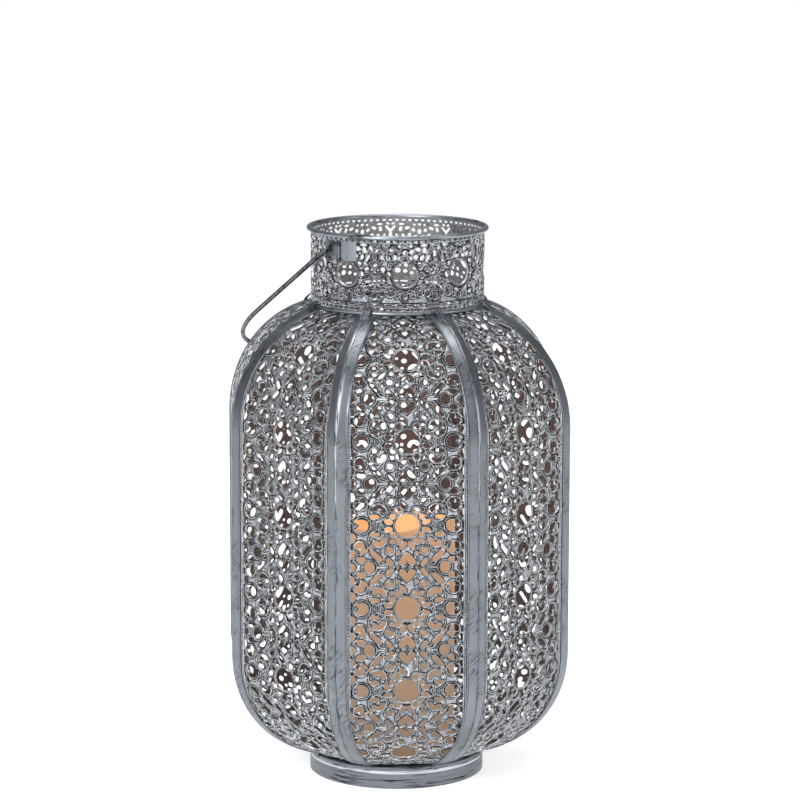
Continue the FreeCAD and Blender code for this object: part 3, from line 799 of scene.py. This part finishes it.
# Routes of a rib's folded ends, as (radius, height) in mm, and their half-widths along the way.
FOOT_TAB = [(60.6, 18.3), (62.2, 18.2), (63.6, 17.9), (64.6, 17.1), (65.0, 16.0), (65.0, 14.6), (64.8, 13.4)]
HEAD_TAB = [(71.4, 343.9), (70.2, 346.0), (68.4, 348.0), (66.2, 349.6), (64.6, 350.5), (63.4, 350.7),
            (62.9, 350.2)]
TAB_HALF_WIDTHS = [3.4, 3.3, 3.1, 3.0, 3.0, 2.9, 2.1]
# One cross-section of a tab: share of the half-width, mm out
TAB_SECTION = ((-1, 0), (-0.9, 0.12), (0.9, 0.12), (1, 0), (1, -0.5), (-1, -0.5))


def tab_mesh(path):
    """The rib's end, folded over a ring's bead."""
    path = np.array(path)
    grow = np.gradient(path, axis=0)
    normal = np.stack([-grow[:, 1], grow[:, 0]], axis=1)
    normal /= np.linalg.norm(normal, axis=1)[:, None]
    if path[-1, 1] > path[0, 1]:
        normal = -normal
    verts, rows = [], []
    for (r, z), (nr, nz), w in zip(path, normal, TAB_HALF_WIDTHS):
        for side, h in TAB_SECTION:
            verts.append(((r - h * nr) * MM, side * w * MM, (z - h * nz) * MM))
            rows.append((side * w, z, 3.0))
    faces = []
    ring = len(TAB_SECTION)
    for k in range(len(path) - 1):
        for c in range(ring):
            n = (c + 1) % ring
            faces.append([k * ring + c, k * ring + n, (k + 1) * ring + n, (k + 1) * ring + c])
    faces.append(list(reversed(range(ring))))
    faces.append([len(verts) - ring + c for c in range(ring)])
    mesh = bpy.data.meshes.new("tab")
    mesh.from_pydata(verts, [], faces)
    store(mesh, "strip", rows, "FLOAT_VECTOR")
    smooth(mesh, 50)
    return mesh


# ---------------------------------------------------------------- neck

def on_neck(u, s, h):
    """u runs round the band from the middle of medallion 1, s up from the medallions' height."""
    a = np.radians(MEDALLION_FIRST) + u / NECK_R
    r = NECK_R + h
    return np.stack([r * np.sin(a), -r * np.cos(a), MEDALLION_Z + s], axis=1)


NECK_COLUMNS, NECK_ROWS = 48, 58


def make_neck():
    columns = NECK_PERIODS * NECK_COLUMNS
    us = np.linspace(0, 2 * NECK_HALF * NECK_PERIODS, columns + 1)
    low, high = NECK_LOW - MEDALLION_Z, NECK_HIGH - MEDALLION_Z
    ss = np.linspace(low, high, NECK_ROWS)
    u, s = np.meshgrid(us, ss)
    place = (u + NECK_HALF) % (2 * NECK_HALF) - NECK_HALF
    field = neck_field(np.abs(place), s)
    field = np.maximum(field, NECK_MARGIN - (s - low))
    field = np.maximum(field, NECK_MARGIN - (high - s))
    for pivot in (BAIL_DEG, BAIL_DEG + 180):
        at = math.radians((pivot - MEDALLION_FIRST) % 360) * NECK_R
        reach = np.hypot(u - at, s - (BAIL_Z - MEDALLION_Z))
        field = np.maximum(field, BAIL_HOLE_MARGIN - reach)
        field = np.minimum(field, reach - BAIL_HOLE_R)
    points, edge, front, back = pierced_sheet(us, ss, field, np.ones_like(field))
    last = us[-1]
    start = {round(p[1], 4): k for k, p in enumerate(points) if p[0] == 0.0}
    joined = {}
    for k, p in enumerate(points):
        if abs(p[0] - last) < 1e-9 and round(p[1], 4) in start:
            joined[k] = start[round(p[1], 4)]
    front = [[joined.get(v, v) for v in face] for face in front]
    back = [[joined.get(v, v) for v in face] for face in back]
    flat = (points, edge, front, back)
    mesh, uv, edge = closed_sheet("neck_sheet", flat, on_neck, SHEET - BACK_INSET)
    store(mesh, "edge", edge)
    fold = (uv[:, 0] + NECK_HALF) % (2 * NECK_HALF) - NECK_HALF
    store(mesh, "cell", np.stack([np.abs(fold), uv[:, 1], 0 * fold], axis=1), "FLOAT_VECTOR")
    smooth(mesh, 50)
    print("neck faces", len(mesh.polygons))
    piece("pierced_neck_band", mesh, "lantern", ["neck_band"], [NECK_METAL, LIT_NECK_INNER])


# ---------------------------------------------------------------- candle

def wax_material():
    """Ivory wax, lit from inside: bright in the well, warm at the top, cooler lower down."""
    s = Shade("warm_wax", Roughness=0.5, Emission_Strength=1.0)
    where = s.coordinates()
    height = s.node("ShaderNodeSeparateXYZ", Vector=where).outputs[2]
    inside = s.attribute("well").outputs["Fac"]
    cloud = s.noise(where, 30.0, 3.0)
    wall = s.ramp(s.math("MULTIPLY", height, 1000.0 / 190.0),
                  [(0.0, (0.11, 0.07, 0.045)), (0.45, (0.20, 0.12, 0.07)), (0.75, (0.32, 0.155, 0.075)),
                   (0.97, (0.42, 0.19, 0.07))])
    side = s.node("ShaderNodeSeparateXYZ", Vector=where).outputs[0]
    well = s.ramp(s.math("MULTIPLY_ADD", side, 12.0, 0.5),
                  [(0.1, (0.60, 0.18, 0.01)), (0.7, (0.60, 0.29, 0.09))])
    glow = s.mix(inside, wall, well)
    glow = s.mix(s.math("MULTIPLY", cloud, 0.16), glow, (0.9, 0.5, 0.3))
    base = s.mix(cloud, (0.30, 0.24, 0.18), (0.38, 0.31, 0.23))
    return s.finish(Base_Color=base, Emission_Color=glow, Normal=s.bump(cloud, 0.0006, 0.4))


WELL_FLOOR = 168.0           # height of the wax inside the burnt-down rim
AROUND_CANDLE = 96
WALL_STEPS = 14              # rings up the candle's side, below the well
# Rings over the rim and down into the well, in from the wall: m inwards, share of the rim's height, glow
RIM_RINGS = [(0.0, 0.0, 0.0), (0.0, 0.5, 0.0), (0.0, 0.86, 0.0), (0.0006, 0.95, 0.05), (0.0019, 1.0, 0.25),
             (0.0032, 0.95, 0.6), (0.0042, 0.8, 1.0), (0.0058, 0.4, 1.0), (0.0085, 0.1, 1.0),
             (0.013, 0.0, 1.0)]
# The dished floor of the well, by radius: m, share below the floor, glow
DISH_RINGS = [(0.018, -0.012, 1.0), (0.008, -0.016, 1.0), (0.0015, -0.016, 1.0)]


def make_candle():
    lo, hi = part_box("candle_shell")
    cx, cy = (lo[0] + hi[0]) / 2, (lo[1] + hi[1]) / 2
    radius = (hi[0] - lo[0]) / 2
    floor_z, top = WELL_FLOOR * MM, hi[2]
    around = AROUND_CANDLE
    angles = np.linspace(0, 2 * math.pi, around, endpoint=False)
    rim = top - 0.0033 + 0.0030 * np.cos(angles + 0.35) + 0.0011 * np.sin(angles * 2 + 2.3)
    rim += 0.0006 * np.sin(angles * 5 + 1.0)
    # each ring: radius, share of the way from the well's floor to the rim (-1 is the candle's foot), glow
    rings = [(0.0320, -1.0, 0.0), (radius - 0.0008, -1.0, 0.0), (radius, -0.97, 0.0)]
    rings += [(radius, -1 + k / WALL_STEPS, 0.0) for k in range(1, WALL_STEPS)]
    rings += [(radius - inwards, share, shine) for inwards, share, shine in RIM_RINGS]
    rings += DISH_RINGS
    verts, glow = [], []
    for r, share, shine in rings:
        for a, edge_z in zip(angles, rim):
            wobble = 1 + 0.004 * math.sin(3 * a + 0.5) + 0.003 * math.sin(5 * a)
            if share >= 0:
                z = floor_z + (edge_z - floor_z) * share
            else:
                z = floor_z + (floor_z - lo[2]) * share
            verts.append((cx + r * wobble * math.cos(a), cy + r * wobble * math.sin(a), z))
            glow.append(shine)
    faces = []
    for k in range(len(rings) - 1):
        for c in range(around):
            n = (c + 1) % around
            faces.append([k * around + c, k * around + n, (k + 1) * around + n, (k + 1) * around + c])
    faces.append([(len(rings) - 1) * around + c for c in range(around)])
    faces.append(list(reversed(range(around))))
    mesh = bpy.data.meshes.new("wax")
    mesh.from_pydata(verts, [], faces)
    store(mesh, "well", glow)
    smooth(mesh, 60)
    piece("wax_pillar", mesh, "candle", ["candle_shell"], [wax_material()])


# ---------------------------------------------------------------- plain parts

def soft_plastic(name, dark, light, roughness, scale):
    s = Shade(name, Roughness=roughness)
    grain = s.noise(s.coordinates(), scale, 4.0)
    return s.finish(Base_Color=s.mix(grain, dark, light), Normal=s.bump(grain, 0.00005, 0.5))


def bright_metal(name, dark, light, scale):
    s = Shade(name, Metallic=1.0)
    grain = s.noise(s.scaled(s.coordinates(), 1, 1, 0.2), scale, 3.0)
    rough = s.math("MULTIPLY_ADD", grain, 0.25, 0.2)
    return s.finish(Base_Color=s.mix(grain, dark, light), Roughness=rough, Normal=s.bump(grain, 0.00003, 0.5))


# the base ring's raised line carries a painted highlight in its material
BASE_LINE_Z = 12.2           # height of the base ring's raised line


def dress_cad_nodes():
    ring_metal = plain_metal("brushed_ring", (1.0, 1.0, 16.0), 40.0, 0.58, highlight_height=BASE_LINE_Z * MM)
    wire_metal = plain_metal("brushed_wire", (1.0, 1.0, 1.0), 160.0, 0.54, tuple(0.7 * c for c in SILVER))
    rim_metal = plain_metal("rolled_rim", (1.0, 1.0, 6.0), 60.0, 0.60, tuple(1.35 * c for c in SILVER))
    hardware = plain_metal("bracket_metal", (1.0, 1.0, 1.0), 160.0, 0.54)
    patch = plain_metal("patch_metal", (1.0, 1.0, 6.0), 90.0, 0.68, tuple(1.5 * c for c in SILVER))
    core = soft_plastic("core_plastic", (0.70, 0.66, 0.58), (0.80, 0.76, 0.68), 0.45, 400.0)
    switch = soft_plastic("switch_plastic", (0.03, 0.03, 0.03), (0.06, 0.06, 0.06), 0.4, 900.0)
    board = soft_plastic("board_green", (0.02, 0.12, 0.05), (0.04, 0.2, 0.09), 0.5, 700.0)
    lens = soft_plastic("lamp_lens", (0.9, 0.75, 0.45), (1.0, 0.85, 0.6), 0.15, 500.0)
    sleeve = soft_plastic("cell_sleeve", (0.02, 0.03, 0.05), (0.05, 0.07, 0.11), 0.35, 300.0)
    contact = bright_metal("contact_metal", (0.6, 0.58, 0.52), (0.8, 0.78, 0.72), 300.0)
    dressed = {
        "base_ring": ring_metal, "base_plate": ring_metal, "foot_collar": ring_metal,
        "neck_collar": ring_metal, "shoulder_ring": rim_metal, "rim_bead": rim_metal, "bail": wire_metal,
        "neck_seam_patch": patch,
        "bail_bracket_near": hardware, "bail_bracket_far": hardware, "bracket_rivets": hardware,
        "candle_core": core, "battery_cover": core, "candle_switch": switch, "led_board": board,
        "led_lamp": lens, "battery_cells": sleeve, "cell_contacts": contact, "cover_contact": contact,
    }
    for name, material in dressed.items():
        mesh = nodes[name].data
        mesh.materials.clear()
        mesh.materials.append(material)


# ---------------------------------------------------------------- stage, light and camera

FLOOR_SIZE, FLOOR_CELLS, FLOOR_DROP = 6.0, 12, 0.0002


def make_stage():
    size, cells = FLOOR_SIZE, FLOOR_CELLS
    mesh = bpy.data.meshes.new("floor")
    verts = [((i / cells - 0.5) * size, (j / cells - 0.5) * size, -FLOOR_DROP)
             for j in range(cells + 1) for i in range(cells + 1)]
    row = cells + 1
    faces = [[j * row + i, j * row + i + 1, (j + 1) * row + i + 1, (j + 1) * row + i]
             for j in range(cells) for i in range(cells)]
    mesh.from_pydata(verts, [], faces)
    s = Shade("pale_floor", Roughness=0.9, Emission_Strength=0.66)
    grain = s.noise(s.coordinates(), 40.0, 3.0)
    pale = s.mix(grain, (0.93, 0.93, 0.93), (0.95, 0.95, 0.95))
    mesh.materials.append(s.finish(Base_Color=pale, Emission_Color=pale))
    floor = bpy.data.objects.new("floor", mesh)
    bpy.context.collection.objects.link(floor)


def area_light(name, place, aim, width, height, watts):
    light = bpy.data.lights.new(name, "AREA")
    light.shape = "RECTANGLE"
    light.size, light.size_y = width, height
    light.energy = watts
    obj = bpy.data.objects.new(name, light)
    obj.location = place
    obj.rotation_euler = (Vector(aim) - Vector(place)).to_track_quat("-Z", "Y").to_euler()
    bpy.context.collection.objects.link(obj)
    return obj


LAMP_PLACE = (0.0025, -0.0002, 0.205)   # just over the candle's well


def make_light():
    world = bpy.data.worlds.new("studio")
    bpy.context.scene.world = world
    world.use_nodes = True
    tree = world.node_tree
    back = tree.nodes["Background"]
    back.inputs["Color"].default_value = (1.0, 1.0, 1.0, 1.0)
    back.inputs["Strength"].default_value = 1.0
    soft = tree.nodes.new("ShaderNodeBackground")
    soft.inputs["Color"].default_value = (0.93, 0.96, 1.0, 1.0)
    soft.inputs["Strength"].default_value = 0.30
    path = tree.nodes.new("ShaderNodeLightPath")
    blend = tree.nodes.new("ShaderNodeMixShader")
    tree.links.new(path.outputs["Is Camera Ray"], blend.inputs[0])
    tree.links.new(soft.outputs[0], blend.inputs[1])
    tree.links.new(back.outputs[0], blend.inputs[2])
    tree.links.new(blend.outputs[0], tree.nodes["World Output"].inputs[0])
    area_light("key", (-1.1, -2.0, 1.5), (0, 0, 0.22), 0.8, 1.2, 50)
    area_light("fill", (1.9, -1.3, 0.9), (0, 0, 0.2), 0.6, 1.2, 12)
    area_light("top", (0.0, 0.3, 2.2), (0, 0, 0.2), 1.4, 1.4, 26)
    glow = bpy.data.lights.new("candle_glow", "POINT")
    glow.energy = 0.07
    glow.color = (1.0, 0.42, 0.22)
    glow.shadow_soft_size = 0.02
    lamp = bpy.data.objects.new("candle_glow", glow)
    lamp.location = LAMP_PLACE
    bpy.context.collection.objects.link(lamp)
    lamp.parent = frame["bodies"]["candle"]
    lamp.matrix_parent_inverse = frame["bodies"]["candle"].matrix_world.inverted()


CAMERA_TURN, CAMERA_PITCH, CAMERA_ROLL = 3.45, 10.1, 0.15   # degrees
CAMERA_AIM = 0.047           # degrees that the view's middle lies to the right of the axis
CAMERA_AWAY, CAMERA_HEIGHT = 2.44, 0.709
CAMERA_LENS = 153.4


def make_camera():
    turn, pitch = math.radians(CAMERA_TURN), math.radians(CAMERA_PITCH)
    camera = bpy.data.cameras.new("camera")
    camera.sensor_width = 36.0
    camera.lens = CAMERA_LENS
    obj = bpy.data.objects.new("camera", camera)
    obj.location = (-CAMERA_AWAY * math.sin(turn), -CAMERA_AWAY * math.cos(turn), CAMERA_HEIGHT)
    yaw = turn + math.radians(CAMERA_AIM)
    look = Vector((math.sin(yaw) * math.cos(pitch), math.cos(yaw) * math.cos(pitch), -math.sin(pitch)))
    upright = look.to_track_quat("-Z", "Y").to_matrix()
    roll = Matrix.Rotation(math.radians(CAMERA_ROLL), 3, "Z")
    obj.rotation_euler = (upright @ roll).to_euler()
    bpy.context.collection.objects.link(obj)
    bpy.context.scene.camera = obj


make_camera()
make_panels()
make_ribs()
make_neck()
make_candle()
dress_cad_nodes()
make_stage()
make_light()
bpy.context.scene.view_settings.view_transform = "Standard"
